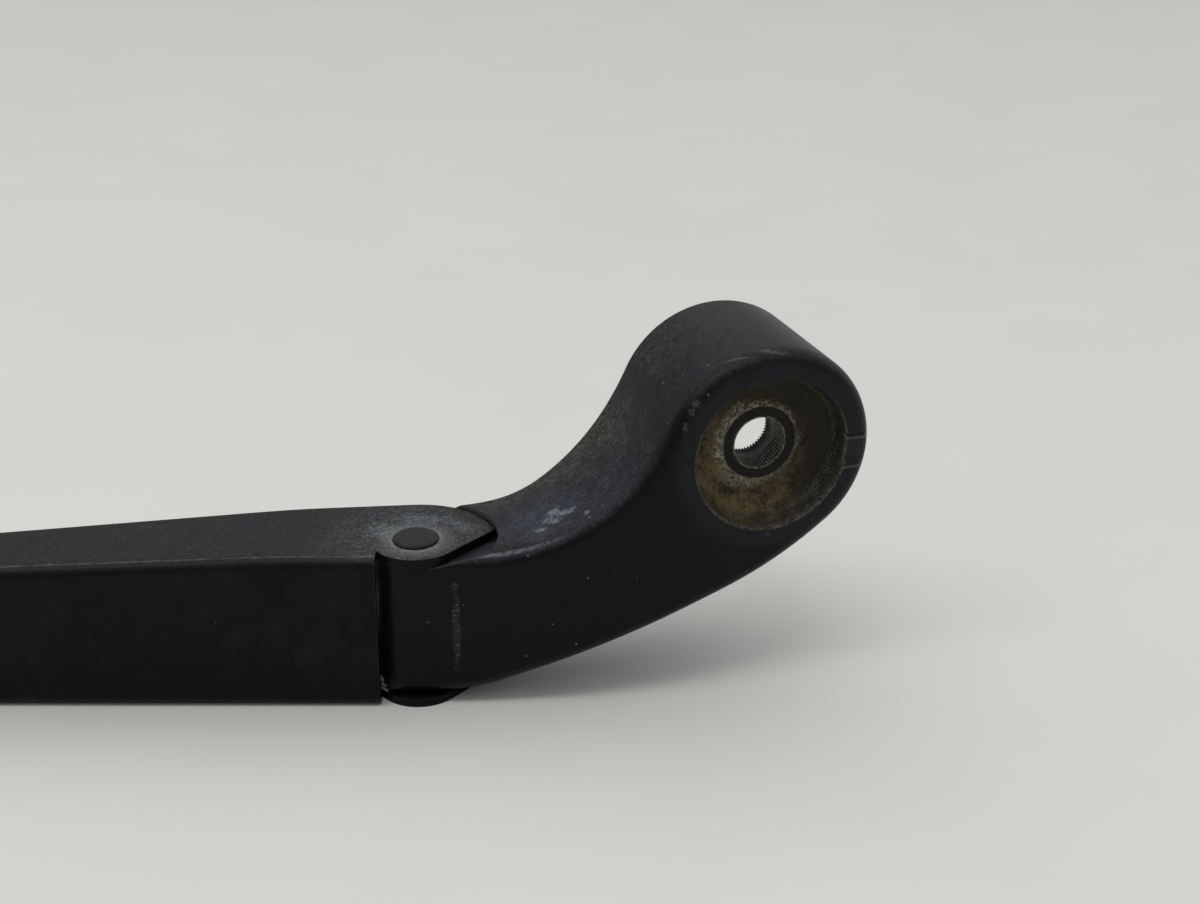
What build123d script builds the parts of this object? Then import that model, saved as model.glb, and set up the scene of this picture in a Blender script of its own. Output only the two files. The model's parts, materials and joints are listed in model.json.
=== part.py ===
from build123d import *
import os
from math import acos, atan2, cos, degrees, radians, sin, sqrt, tan

# Windscreen wiper arm, lying on its side as it rests off the car. Millimetres, +Z up.
# The origin is the centre of the nut seat, on the spindle axis. The arm runs towards -X,
# its painted outer face looks along -Y and its glass side along +Y.

# Spindle seat and boss of the mounting head
spindle_r = 4.15
spindle_land = 4.0
taper_back_r = 4.6
taper_length = 3.7
back_bore_r = 13.4
nut_seat_r = 8.0
bowl_round = 3.4
mouth_r = 12.4
mouth_height = 5.2
boss_r = 16.8
boss_back = 21.0
boss_tilt = 15.9
rim_round = 2.8
back_chamfer = 1.2
notch_width = 4.5
notch_depth = 1.4
notch_angle = -4.0

# Cranked neck between the boss and the hinge
hinge_reach = 53.0
hinge_front = 5.7
crank = 27.2
neck_proud = 0.4
crank_inner_r = 34.0
belly_r = 64.0
belly_end_angle = -50.0
belly_slope = 21.5
heel_round = 30.0
front_bow_r = 90.0
knuckle_r = 6.3
knuckle_heel = 0.6
back_shoulder_x = 4.0
back_shoulder_y = 12.2
back_hollow_x = 15.0
back_hollow_y = 12.8
back_bend_r = 18.0
ramp_slope = 19.0

# Hinge
lift_range = 80.0
rivet_r = 2.5
rivet_head_r = 3.6
rivet_head_height = 0.7
rivet_head_chamfer = 0.4
rivet_end_r = 3.3
bush_wall = 0.9
bush_clearance = 0.02
sleeve_wall = 1.0
running_clearance = 0.05
ear_clearance = 0.25
ear_rim_clearance = 0.25

# Pressed channel
arm_width = 26.0
sheet = 1.4
channel_front = 6.95
channel_end_x = -5.7
channel_length = 172.0
channel_edge_round = 2.0
ear_r = 12.45
ear_nose_r = 6.85
ear_nose_end = -40.0
ear_tip_round = 1.2
wall_slope = 5.8
wall_bend_x = -100.0
tail_depth = 9.1
taper_start_x = -20.0
taper_bend_x = -70.0
taper_bend_drop = 2.3
tail_width = 18.5
profile_blend_r = 220.0

# Flat strip with the blade hook
strip_width = 9.0
strip_thick = 3.0
strip_height = 9.5
strip_inner_x = -75.8
anchor_y = 0.0
anchor_r = 2.1
strip_bridge = 2.2
strip_flat = 9.0
strip_joggle = 8.0
strip_bend_r = 6.0
hook_x = -368.0
hook_inner_r = 3.6
hook_return = 13.0
strip_rivet_r = 2.0
strip_rivet_head_r = 3.4
strip_rivet_head = 0.9
strip_rivet_chamfer = 0.45
strip_rivet_tail_gaps = (16.0, 54.0)

# Closing spring and its link
pin_r = 1.75
pin_reach = 6.4
pin_angle = 120.0
pin_cheek_r = 3.4
pin_length = 18.0
pin_chamfer = 0.35
link_thick = 3.0
link_width = 2.5
link_gap = 0.4
link_slot_side = 0.6
link_slot_r = 8.3
link_eye = (-26.0, 3.9)
link_eye_r = 2.1
link_eye_wall = 2.1
link_shoulder_x = -7.5
link_bend_r = 2.2
finger_reach = 0.4
spring_r = 3.7
wire_r = 0.8
wire_side_count = 6
spring_turns = 11.25
steps_per_turn = 12
loop_seat = 2.0
loop_dip = 2.2
loop_arc = 210.0

# Places that follow from the sizes
hinge = Vector(-hinge_reach, -hinge_front, -crank)
arm_plane = Plane(origin=hinge)
low_side = arm_plane.offset(-arm_width / 2)
side_view = Plane(origin=hinge, x_dir=(1, 0, 0), z_dir=(0, -1, 0))
tilt = radians(boss_tilt)
outward = Vector(sin(tilt), -cos(tilt), 0)
along_rim = Vector(cos(tilt), sin(tilt), 0)
boss_plane = Plane(origin=(0, 0, 0), x_dir=along_rim, z_dir=outward)
bush_r = rivet_r + bush_wall
ear_floor = arm_width / 2 - sheet - ear_clearance
pin_at = (pin_reach * cos(radians(pin_angle)), pin_reach * sin(radians(pin_angle)))
far = 200.0
over = 1.0
facing = 0.85
pocket_rise = far / 10


def from_hinge(point):
    """A point of the spindle frame, as X and Y from the hinge axis."""
    return (point.X - hinge.X, point.Y - hinge.Y)


# Outline of a hinge ear, from the hinge axis: a round nose, a straight front and a round back
nose_end = (ear_nose_r * cos(radians(ear_nose_end)), ear_nose_r * sin(radians(ear_nose_end)))
nose_start = (channel_end_x, -sqrt(ear_nose_r ** 2 - channel_end_x ** 2))
tip_angle = ear_nose_end + degrees(acos(ear_nose_r / ear_r))
ear_tip = (ear_r * cos(radians(tip_angle)), ear_r * sin(radians(tip_angle)))
ear_front = Vector(-sin(radians(ear_nose_end)), cos(radians(ear_nose_end)))
ear_facing = Vector(cos(radians(ear_nose_end)), sin(radians(ear_nose_end)))

# Mounting head: one casting with the boss, the cranked neck and the hinge knuckle
neck_top = -crank + arm_width / 2 + neck_proud
neck_bottom = -crank - ear_floor
crank_centre_y = neck_top + crank_inner_r
crank_centre_x = -sqrt((crank_inner_r + boss_r) ** 2 - crank_centre_y ** 2)
crank_share = boss_r / (crank_inner_r + boss_r)
crank_meets_boss = (crank_centre_x * crank_share, crank_centre_y * crank_share)
crank_mid_angle = (270 + 360 + degrees(atan2(-crank_centre_y, -crank_centre_x))) / 2
crank_mid = (
    crank_centre_x + crank_inner_r * cos(radians(crank_mid_angle)),
    crank_centre_y + crank_inner_r * sin(radians(crank_mid_angle)),
)
belly_offset = belly_r - boss_r
belly_end = radians(belly_end_angle)
belly_centre = (-belly_offset * cos(belly_end), -belly_offset * sin(belly_end))


def on_belly(angle):
    """A point of the belly's arc at an angle in degrees."""
    turn = radians(angle)
    return (belly_centre[0] + belly_r * cos(turn), belly_centre[1] + belly_r * sin(turn))


belly_start_angle = belly_slope - 90
belly_start = on_belly(belly_start_angle)
heel_x = belly_start[0] - (belly_start[1] - neck_bottom) / tan(radians(belly_slope))
rim_front = outward * mouth_height
rim_corner = rim_front + along_rim * ((-hinge_front - knuckle_r - rim_front.Y) / along_rim.Y)
boss_margin = boss_r + over
cheek_top = pin_at[1] + pin_cheek_r
cheek_slope = (back_shoulder_y - cheek_top) / (back_shoulder_x - pin_at[0])
blank_end_x = -2 * ear_r
blank_end_y = cheek_top + cheek_slope * (blank_end_x - pin_at[0])

with BuildPart() as mounting_head:
    with BuildSketch(boss_plane) as neck_outline:
        with BuildLine():
            Line((-far / 2, neck_top), (crank_centre_x, neck_top))
            ThreePointArc((crank_centre_x, neck_top), crank_mid, crank_meets_boss)
            boss_from = degrees(atan2(crank_meets_boss[1], crank_meets_boss[0]))
            CenterArc((0, 0), boss_r, boss_from, belly_end_angle - boss_from)
            CenterArc(belly_centre, belly_r, belly_end_angle, belly_start_angle - belly_end_angle)
            FilletPolyline(
                belly_start, (heel_x, neck_bottom), (-far / 2, neck_bottom), radius=heel_round
            )
            Line((-far / 2, neck_bottom), (-far / 2, neck_top))
        make_face()
    extrude(amount=far / 4, both=True)
    with BuildSketch(arm_plane) as neck_plan:
        with BuildLine():
            FilletPolyline(
                (blank_end_x, -knuckle_r),
                from_hinge(rim_corner),
                from_hinge(rim_front + along_rim * boss_margin),
                radius=front_bow_r,
            )
            Line(
                from_hinge(rim_front + along_rim * boss_margin),
                from_hinge(along_rim * boss_margin - outward * boss_back),
            )
            FilletPolyline(
                from_hinge(along_rim * boss_margin - outward * boss_back),
                from_hinge(-along_rim * boss_r - outward * boss_back),
                (back_hollow_x, back_hollow_y),
                (back_shoulder_x, back_shoulder_y),
                (blank_end_x, blank_end_y),
                radius=back_bend_r,
            )
            Line((blank_end_x, blank_end_y), (blank_end_x, -knuckle_r))
        make_face()
    extrude(amount=far / 2, both=True, mode=Mode.INTERSECT)
    front_faces = faces().filter_by(lambda face: face.normal_at().dot(outward) > facing)
    fillet(front_faces.edges().filter_by(Axis.Z, reverse=True), rim_round)
    back_faces = faces().filter_by(lambda face: face.normal_at().dot(outward) < -facing)
    chamfer(back_faces.edges().filter_by(Axis.Z, reverse=True), back_chamfer)
    # The hinge end is trimmed to the round knuckle and the two cheeks of the spring pin
    with BuildSketch(arm_plane) as knuckle_trim:
        Rectangle(far, far, align=(Align.MAX, Align.CENTER))
        with Locations((-knuckle_heel / 2, 0)):
            SlotCenterToCenter(knuckle_heel, 2 * knuckle_r, mode=Mode.SUBTRACT)
        with Locations(pin_at):
            Circle(pin_cheek_r, mode=Mode.SUBTRACT)
        with BuildLine():
            Polyline((0, 0), pin_at, (pin_at[0], far), (0, far), close=True)
        make_face(mode=Mode.SUBTRACT)
    extrude(amount=far / 2, both=True, mode=Mode.SUBTRACT)
    # Bowl for the nut, with its flat seat, the tapered spindle bore and the hollow back of the boss
    bowl_plane = Plane(origin=(0, 0, 0), x_dir=along_rim, z_dir=(0, 0, -1))
    with BuildSketch(bowl_plane) as bowl_profile:
        with BuildLine():
            FilletPolyline(
                (0, 0),
                (nut_seat_r + bowl_round, 0),
                (mouth_r, mouth_height),
                radius=bowl_round,
            )
            Polyline((mouth_r, mouth_height), (mouth_r, far / 10), (0, far / 10), (0, 0))
        make_face()
    revolve(axis=Axis((0, 0, 0), outward), mode=Mode.SUBTRACT)
    with BuildSketch(bowl_plane) as bore_profile:
        with BuildLine():
            Polyline(
                (0, over),
                (spindle_r, over),
                (spindle_r, -spindle_land),
                (taper_back_r, -spindle_land - taper_length),
                (back_bore_r, -spindle_land - taper_length),
                (back_bore_r, -boss_back - over),
                (0, -boss_back - over),
                close=True,
            )
        make_face()
    revolve(axis=Axis((0, 0, 0), outward), mode=Mode.SUBTRACT)
    # Pry notch across the rim
    notch_plane = boss_plane.offset(mouth_height - notch_depth).rotated((0, 0, notch_angle))
    with BuildSketch(notch_plane) as rim_notch:
        with Locations((boss_r, 0)):
            Rectangle(2 * (boss_r - mouth_r) + over, notch_width)
    extrude(amount=2 * notch_depth, mode=Mode.SUBTRACT)
    # Round pockets that the channel's ears turn in, with floors that ramp up in front of the ears
    for side in (1, -1):
        with BuildPart(mode=Mode.PRIVATE) as ear_pocket:
            with BuildSketch(arm_plane.offset(side * ear_floor)) as pocket_round:
                Circle(ear_r + ear_rim_clearance)
            extrude(amount=side * pocket_rise)
            ramp_plane = Plane(origin=hinge, x_dir=ear_facing, z_dir=ear_front * -side)
            with BuildSketch(ramp_plane) as above_ramp:
                with BuildLine():
                    Polyline(
                        (-far / 2, ear_floor),
                        (ear_nose_r, ear_floor),
                        (ear_nose_r + pocket_rise / tan(radians(ramp_slope)), ear_floor + pocket_rise),
                        (-far / 2, ear_floor + pocket_rise),
                        close=True,
                    )
                make_face()
            extrude(amount=far / 2, both=True, mode=Mode.INTERSECT)
        add(ear_pocket.part, mode=Mode.SUBTRACT)
    # Slot for the spring link, left open round the hinge sleeve
    with BuildSketch(arm_plane) as link_slot:
        with Locations(pin_at):
            Circle(link_slot_r)
        Circle(bush_r + sleeve_wall, mode=Mode.SUBTRACT)
    extrude(amount=link_thick / 2 + link_slot_side, both=True, mode=Mode.SUBTRACT)
    # Hinge bore and the cross hole for the spring pin
    with BuildSketch(arm_plane) as cross_holes:
        Circle(bush_r + bush_clearance)
    extrude(amount=arm_width, both=True, mode=Mode.SUBTRACT)
    with BuildSketch(arm_plane) as pin_hole:
        with Locations(pin_at):
            Circle(pin_r + bush_clearance)
    extrude(amount=pin_length / 2, both=True, mode=Mode.SUBTRACT)

# Sleeve that the hinge rivet turns in
with BuildPart() as hinge_bush:
    with BuildSketch(arm_plane) as sleeve:
        Circle(bush_r)
        Circle(rivet_r + running_clearance, mode=Mode.SUBTRACT)
    extrude(amount=ear_floor, both=True)

# Cross pin that the spring link pulls on
with BuildPart() as spring_pin:
    with BuildSketch(arm_plane) as pin_round:
        with Locations(pin_at):
            Circle(pin_r)
    extrude(amount=pin_length / 2 - bush_clearance, both=True)
    chamfer(edges().filter_by(GeomType.CIRCLE), pin_chamfer)

# Pressed channel with the two hinge ears, open along its glass side
half_width = arm_width / 2
wall_touch = (-ear_r * sin(radians(wall_slope)), ear_r * cos(radians(wall_slope)))
wall_bend_y = wall_touch[1] + (wall_bend_x - wall_touch[0]) * tan(radians(wall_slope))
end_wall_y = wall_touch[1] + (channel_end_x - wall_touch[0]) * tan(radians(wall_slope))
tail_edge = (-channel_length, tail_depth - channel_front)
block_end = ear_r + 2 * sheet
beyond = channel_front + ear_r
strip_y = -channel_front + sheet + strip_thick / 2
strip_rivet_xs = [gap - channel_length for gap in strip_rivet_tail_gaps]

with BuildPart() as arm_channel:
    with BuildSketch(low_side) as wall_profile:
        with BuildLine():
            FilletPolyline(tail_edge, (wall_bend_x, wall_bend_y), wall_touch, radius=profile_blend_r)
            Polyline(
                wall_touch,
                (block_end, wall_touch[1]),
                (block_end, -channel_front),
                (-channel_length, -channel_front),
                tail_edge,
            )
        make_face()
    extrude(amount=arm_width)
    with BuildSketch(side_view) as upper_taper:
        with BuildLine():
            FilletPolyline(
                (block_end, half_width),
                (taper_start_x, half_width),
                (taper_bend_x, half_width - taper_bend_drop),
                (-channel_length, tail_width - half_width),
                radius=profile_blend_r,
            )
            Polyline(
                (-channel_length, tail_width - half_width),
                (-channel_length - sheet, tail_width - half_width),
                (-channel_length - sheet, arm_width),
                (block_end, arm_width),
                (block_end, half_width),
            )
        make_face()
    extrude(amount=beyond, both=True, mode=Mode.SUBTRACT)
    outer_face = faces().sort_by(Axis.Y)[0]
    fillet(outer_face.edges().filter_by(Axis.Z, reverse=True), channel_edge_round)
    open_faces = faces().filter_by(lambda face: face.normal_at().Y > facing)
    end_faces = faces().filter_by(Axis.X)
    offset(amount=-sheet, openings=open_faces + end_faces)
    # The front end is cut square, and the side walls go on as two flat leaf-shaped ears
    with BuildSketch(low_side) as end_cut:
        with Locations((channel_end_x, 0)):
            Rectangle(2 * beyond, 2 * beyond, align=(Align.MIN, Align.CENTER))
    extrude(amount=arm_width, mode=Mode.SUBTRACT)
    for ear_side in (low_side, low_side.offset(arm_width - sheet)):
        with BuildSketch(ear_side) as ear:
            with BuildLine():
                ThreePointArc(nose_start, (0, -ear_nose_r), nose_end)
                Line(nose_end, ear_tip)
                CenterArc((0, 0), ear_r, tip_angle, 90 + wall_slope - tip_angle)
                Polyline(wall_touch, (channel_end_x, end_wall_y), nose_start)
            make_face()
            fillet(vertices().sort_by_distance(Vector(*ear_tip))[0], ear_tip_round)
        extrude(amount=sheet)
    # Rivet holes through the ears and through the outer wall
    with BuildSketch(low_side) as hinge_hole:
        Circle(rivet_r)
    extrude(amount=arm_width, mode=Mode.SUBTRACT)
    with BuildSketch(side_view) as end_dimple:
        with BuildLine():
            Polyline(
                (0, -half_width),
                (rivet_end_r, -half_width),
                (rivet_r, -half_width + sheet),
                (0, -half_width + sheet),
                close=True,
            )
        make_face()
    revolve(axis=Axis(hinge, (0, 0, 1)), mode=Mode.SUBTRACT)
    with BuildSketch(side_view) as strip_holes:
        with Locations([(x, strip_height - half_width) for x in strip_rivet_xs]):
            Circle(strip_rivet_r)
    extrude(amount=beyond, mode=Mode.SUBTRACT)

# Hinge rivet, with a low round head above and a flush end below
with BuildPart() as hinge_rivet:
    with BuildSketch(side_view) as rivet_profile:
        with BuildLine():
            Polyline(
                (0, half_width + rivet_head_height),
                (0, -half_width),
                (rivet_end_r, -half_width),
                (rivet_r, -half_width + sheet),
                (rivet_r, half_width),
                (rivet_head_r, half_width),
                (rivet_head_r, half_width + rivet_head_height),
                close=True,
            )
        make_face()
    revolve(axis=Axis(hinge, (0, 0, 1)))
    chamfer(edges().sort_by(Axis.Z)[-1], rivet_head_chamfer)

# Flat strip that carries the blade, bent to a hook at its end
strip_plane = low_side.offset(strip_height)
joggle_x = strip_inner_x - strip_flat
with BuildPart() as arm_strip:
    with BuildLine(strip_plane) as strip_path:
        run = FilletPolyline(
            (strip_inner_x, anchor_y),
            (joggle_x, anchor_y),
            (joggle_x - strip_joggle, strip_y),
            (hook_x, strip_y),
            radius=strip_bend_r,
        )
        bend = JernArc((hook_x, strip_y), (-1, 0), hook_inner_r + strip_thick / 2, -180)
        Line(bend @ 1, bend @ 1 + bend % 1 * hook_return)
    with BuildSketch(Plane(origin=run @ 0, x_dir=(0, 0, 1), z_dir=run % 0)) as strip_section:
        Rectangle(strip_width, strip_thick)
    sweep(path=strip_path.wires()[0])
    with BuildSketch(side_view) as strip_openings:
        with Locations((strip_inner_x - strip_bridge - anchor_r, strip_height - half_width)):
            Circle(anchor_r)
        with Locations([(x, strip_height - half_width) for x in strip_rivet_xs]):
            Circle(strip_rivet_r)
    extrude(amount=beyond, both=True, mode=Mode.SUBTRACT)

# Two rivets that hold the strip to the channel, with low round heads on the outer face
strip_back = -strip_y - strip_thick / 2
with BuildPart() as strip_rivets:
    for x in strip_rivet_xs:
        rivet_at = Vector(hinge.X + x, hinge.Y, strip_plane.origin.Z)
        with BuildSketch(Plane(origin=rivet_at, x_dir=(0, 0, 1), z_dir=(1, 0, 0))) as strip_rivet:
            with BuildLine():
                Polyline(
                    (0, channel_front + strip_rivet_head),
                    (0, strip_back - strip_rivet_head),
                    (strip_rivet_head_r, strip_back - strip_rivet_head),
                    (strip_rivet_head_r, strip_back),
                    (strip_rivet_r, strip_back),
                    (strip_rivet_r, channel_front),
                    (strip_rivet_head_r, channel_front),
                    (strip_rivet_head_r, channel_front + strip_rivet_head),
                    close=True,
                )
            make_face()
        revolve(axis=Axis(rivet_at, (0, 1, 0)))
    chamfer(edges().group_by(Axis.Y)[0], strip_rivet_chamfer)

# Link between the spring and the cross pin, with play for the pin's arc
pin_play = pin_reach * (1 - cos(radians(lift_range / 2)))
side_play = pin_play * sin(radians(90 + lift_range / 2 - pin_angle))
finger_x = pin_at[0] + pin_r + side_play + link_gap + link_width / 2
saddle_y = pin_at[1] + pin_r + pin_play + link_gap + link_width / 2
with BuildPart() as spring_link:
    with BuildSketch(arm_plane) as link_outline:
        with BuildLine() as link_line:
            FilletPolyline(
                link_eye,
                (link_shoulder_x, saddle_y),
                (finger_x, saddle_y),
                (finger_x, pin_at[1] - finger_reach),
                radius=link_bend_r,
            )
        trace(line_width=link_width)
        with Locations(link_eye):
            Circle(link_eye_r + link_eye_wall)
            Circle(link_eye_r, mode=Mode.SUBTRACT)
    extrude(amount=link_thick / 2, both=True)

# Closing spring: a coil of straight steps, with a hook bent up at each end
strip_edge = Vector(hinge.X + strip_inner_x - strip_bridge, hinge.Y + anchor_y, strip_plane.origin.Z)
link_at = hinge + Vector(*link_eye)
pull = (link_at - strip_edge).normalized()
link_edge = link_at - pull * link_eye_r
coil_start = strip_edge + pull * (loop_seat + loop_dip)
coil_length = (link_edge - strip_edge).length - 2 * (loop_seat + loop_dip)
coil_plane = Plane(origin=coil_start, x_dir=(0, 1, 0), z_dir=pull)
step_angle = 360 / steps_per_turn


def round_coil(radius, angle, height):
    """A point at a radius and an angle in degrees round the coil's axis."""
    return (radius * cos(radians(angle)), radius * sin(radians(angle)), height)


def hook_points(angle, foot, way):
    """Points of an end hook, from its foot on the coil to its free end."""
    points = []
    for step in range(round(loop_arc / step_angle) + 1):
        turn = radians(step * step_angle)
        height = foot + way * (loop_dip + spring_r * sin(turn))
        points.append(round_coil(spring_r * cos(turn), angle, height))
    return points


coil_steps = round(spring_turns * steps_per_turn)
coil_points = [
    round_coil(spring_r, step * step_angle, coil_length * step / coil_steps)
    for step in range(coil_steps + 1)
]
first_hook = hook_points(0, 0, -1)
last_hook = hook_points(coil_steps * step_angle, coil_length, 1)
with BuildPart() as tension_spring:
    with BuildLine(coil_plane) as wire_path:
        wire_line = Polyline(*reversed(first_hook), *coil_points, *last_hook)
    with BuildSketch(Plane(origin=wire_line @ 0, z_dir=wire_line % 0)) as wire_section:
        RegularPolygon(wire_r, wire_side_count)
    sweep(path=wire_path.wires()[0], transition=Transition.RIGHT)

pieces = {
    "mounting_head": mounting_head,
    "hinge_bush": hinge_bush,
    "spring_pin": spring_pin,
    "arm_channel": arm_channel,
    "hinge_rivet": hinge_rivet,
    "arm_strip": arm_strip,
    "strip_rivets": strip_rivets,
    "spring_link": spring_link,
    "tension_spring": tension_spring,
}
os.makedirs("parts", exist_ok=True)
for name, piece in pieces.items():
    piece.part.label = name
    export_step(piece.part, f"parts/{name}.step")
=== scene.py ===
# %% [markdown]
# # A used windscreen wiper arm
#
# The arm lies on its side on a pale table. A cast mounting head carries the nut recess and the spindle
# bore. A pressed channel hinges on the head with one rivet, a spring inside the channel pulls it shut,
# and a flat strip carries the blade hook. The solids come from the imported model, already at their real
# size. This lesson gives every one of them its worn black paint, bare metal, rust or dust, and adds the
# fine pieces that a solid model leaves plain.

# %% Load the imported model
import json
from math import cos, pi, radians, sin

import bmesh
import bpy
from mathutils import Matrix, Vector


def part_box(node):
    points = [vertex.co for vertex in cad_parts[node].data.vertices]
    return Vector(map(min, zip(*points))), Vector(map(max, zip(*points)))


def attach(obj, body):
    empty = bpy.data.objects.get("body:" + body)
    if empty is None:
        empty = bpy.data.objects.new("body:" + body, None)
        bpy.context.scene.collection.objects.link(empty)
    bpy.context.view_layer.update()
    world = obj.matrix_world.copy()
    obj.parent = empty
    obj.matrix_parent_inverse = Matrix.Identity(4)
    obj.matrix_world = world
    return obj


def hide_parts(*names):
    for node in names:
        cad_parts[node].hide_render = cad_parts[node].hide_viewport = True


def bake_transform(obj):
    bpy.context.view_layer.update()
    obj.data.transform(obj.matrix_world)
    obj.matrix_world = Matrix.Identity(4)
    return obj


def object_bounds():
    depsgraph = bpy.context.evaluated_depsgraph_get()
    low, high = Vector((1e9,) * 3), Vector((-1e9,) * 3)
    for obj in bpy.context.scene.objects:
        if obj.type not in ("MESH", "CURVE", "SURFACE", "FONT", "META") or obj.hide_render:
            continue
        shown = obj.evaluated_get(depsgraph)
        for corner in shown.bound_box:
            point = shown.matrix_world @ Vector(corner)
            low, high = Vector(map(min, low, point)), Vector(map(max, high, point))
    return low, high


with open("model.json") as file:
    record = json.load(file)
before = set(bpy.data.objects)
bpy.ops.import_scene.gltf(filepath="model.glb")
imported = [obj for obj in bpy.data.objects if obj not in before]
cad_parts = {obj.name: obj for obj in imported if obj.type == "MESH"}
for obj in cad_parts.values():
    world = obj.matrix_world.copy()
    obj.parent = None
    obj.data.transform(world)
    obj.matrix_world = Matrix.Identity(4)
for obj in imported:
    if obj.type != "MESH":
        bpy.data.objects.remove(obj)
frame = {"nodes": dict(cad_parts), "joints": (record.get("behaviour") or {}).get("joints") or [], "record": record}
cad_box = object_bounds()
nodes = frame["nodes"]
print("nodes:", sorted(nodes))

# %% [markdown]
# ## Places that the frame gives
#
# Paint wears where the arm is handled and where metal rubs, so the finishes need a few places: the hinge
# axis, the spindle axis and the table. They could be typed in by hand, but read from the frame they keep
# the recess and the ring round the rivet in place when a size changes. Materials work in millimetres,
# because that is how a maker thinks of wear.

# %% Read the hinge, the spindle axis and the table
MM = 0.001
hinge = Vector(frame["joints"][0]["pos_m"]) / MM
mounts = {mount["name"]: mount for mount in frame["record"]["mounts"]}
outward = -Vector(mounts["spindle_bore"]["axis"]).normalized()
along_rim = Vector((0, 0, 1)).cross(outward)
bore_r = mounts["spindle_bore"]["dims"]["r_mm"]
land_length = mounts["spindle_bore"]["dims"]["length_mm"]
table_z = cad_box[0].z
print("hinge", hinge, "outward", outward, "table", table_z)

# %% [markdown]
# ## A short way to write nodes
#
# Each finish is a small web of nodes. Writing every node and link by hand hides the idea, so a few
# helpers make a node with its values, do arithmetic on masks and vectors, and mix two colours or values
# by a mask.

# %% Define the node helpers
VALUE = "NodeSocketFloat"
VECTOR = "NodeSocketVector"
ORIGIN = (0.0, 0.0, 0.0)


def tone(code):
    """A colour written as on screen, such as 4a4132, as linear light."""
    shares = [int(code[i : i + 2], 16) / 255 for i in (0, 2, 4)]
    return tuple(s / 12.92 if s <= 0.04045 else ((s + 0.055) / 1.055) ** 2.4 for s in shares) + (1.0,)


def node(tree, kind, values, **settings):
    """A new node with its settings, and with each input set to a value or linked to a socket."""
    made = tree.nodes.new(kind)
    for name, setting in settings.items():
        setattr(made, name, setting)
    for key, value in values.items():
        if isinstance(value, bpy.types.NodeSocket):
            tree.links.new(value, made.inputs[key])
        else:
            made.inputs[key].default_value = value
    return made


def calc(tree, operation, *terms):
    """One step of arithmetic on values or masks."""
    return node(tree, "ShaderNodeMath", dict(enumerate(terms)), operation=operation).outputs[0]


def product(tree, first, *others):
    """Several masks multiplied together."""
    for other in others:
        first = calc(tree, "MULTIPLY", first, other)
    return first


def spread(tree, value, span, start):
    """A value from 0 to 1 spread over a span that begins at start."""
    return calc(tree, "MULTIPLY_ADD", value, span, start)


def fray(tree, distance, cloud, reach):
    """A distance pushed in and out by a cloud, so that a mask made from it has a ragged edge."""
    return spread(tree, calc(tree, "SUBTRACT", cloud, 0.5), reach, distance)


def vector(tree, operation, *terms):
    """One step of arithmetic on vectors, as the outputs Vector and Value."""
    return node(tree, "ShaderNodeVectorMath", dict(enumerate(terms)), operation=operation).outputs


def axes(tree, whole):
    """The X, Y and Z of a vector."""
    return node(tree, "ShaderNodeSeparateXYZ", {0: whole}).outputs


def ramp(tree, value, start, end):
    """A soft step from 0 at start to 1 at end, which may lie below start."""
    low, high, rise = (start, end, (0.0, 1.0)) if end > start else (end, start, (1.0, 0.0))
    values = {"Value": value, "From Min": low, "From Max": high, "To Min": rise[0], "To Max": rise[1]}
    return node(tree, "ShaderNodeMapRange", values, interpolation_type="SMOOTHSTEP").outputs["Result"]


def band(tree, value, start, full, fade, end):
    """A mask that rises from start to full and falls again from fade to end."""
    return product(tree, ramp(tree, value, start, full), ramp(tree, value, end, fade))


def mix(tree, mask, under, over):
    """The colour over laid on the colour under where the mask says."""
    return node(tree, "ShaderNodeMix", {0: mask, 6: under, 7: over}, data_type="RGBA").outputs[2]


def mix_value(tree, mask, under, over):
    """The value over in place of the value under where the mask says."""
    return node(tree, "ShaderNodeMix", {0: mask, 2: under, 3: over}, data_type="FLOAT").outputs[0]


def noise(tree, place, scale, detail=4.0, roughness=0.6):
    """Cloudy noise from 0 to 1, with its scale in features for each millimetre."""
    values = {"Vector": place, "Scale": scale, "Detail": detail, "Roughness": roughness}
    return node(tree, "ShaderNodeTexNoise", values).outputs["Fac"]


def group(name, inputs, outputs):
    """An empty shader node group with named sockets, and its input and output nodes."""
    tree = bpy.data.node_groups.new(name, "ShaderNodeTree")
    kinds = {float: VALUE, tuple: VECTOR}
    for label, value in inputs.items():
        socket = tree.interface.new_socket(label, in_out="INPUT", socket_type=kinds[type(value)])
        socket.default_value = value
    for label, kind in outputs.items():
        tree.interface.new_socket(label, in_out="OUTPUT", socket_type=kind)
    return tree, tree.nodes.new("NodeGroupInput").outputs, tree.nodes.new("NodeGroupOutput").inputs


def give(tree, out, **results):
    """A group with its results linked to its outputs."""
    for label, socket in results.items():
        tree.links.new(socket, out[label])
    return tree


def place(tree, shared, **values):
    """A shared node group set into a material."""
    return node(tree, "ShaderNodeGroup", values, node_tree=shared).outputs


print("helpers ready")

# %% [markdown]
# ## Smooth shading across tangent faces
#
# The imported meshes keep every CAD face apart, so a rounded rim and the flat beside it meet in a faint
# crease. Merging the shared points and marking only the steep edges sharp gives the soft, continuous
# shine of a real casting. A small geometry node group does it as a modifier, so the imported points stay.
# Only the stored normals go, because they would hold the creases.

# %% Make the smoothing modifier and put it on every solid
crease_angle = radians(24)
merge_distance = 2e-6


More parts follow.
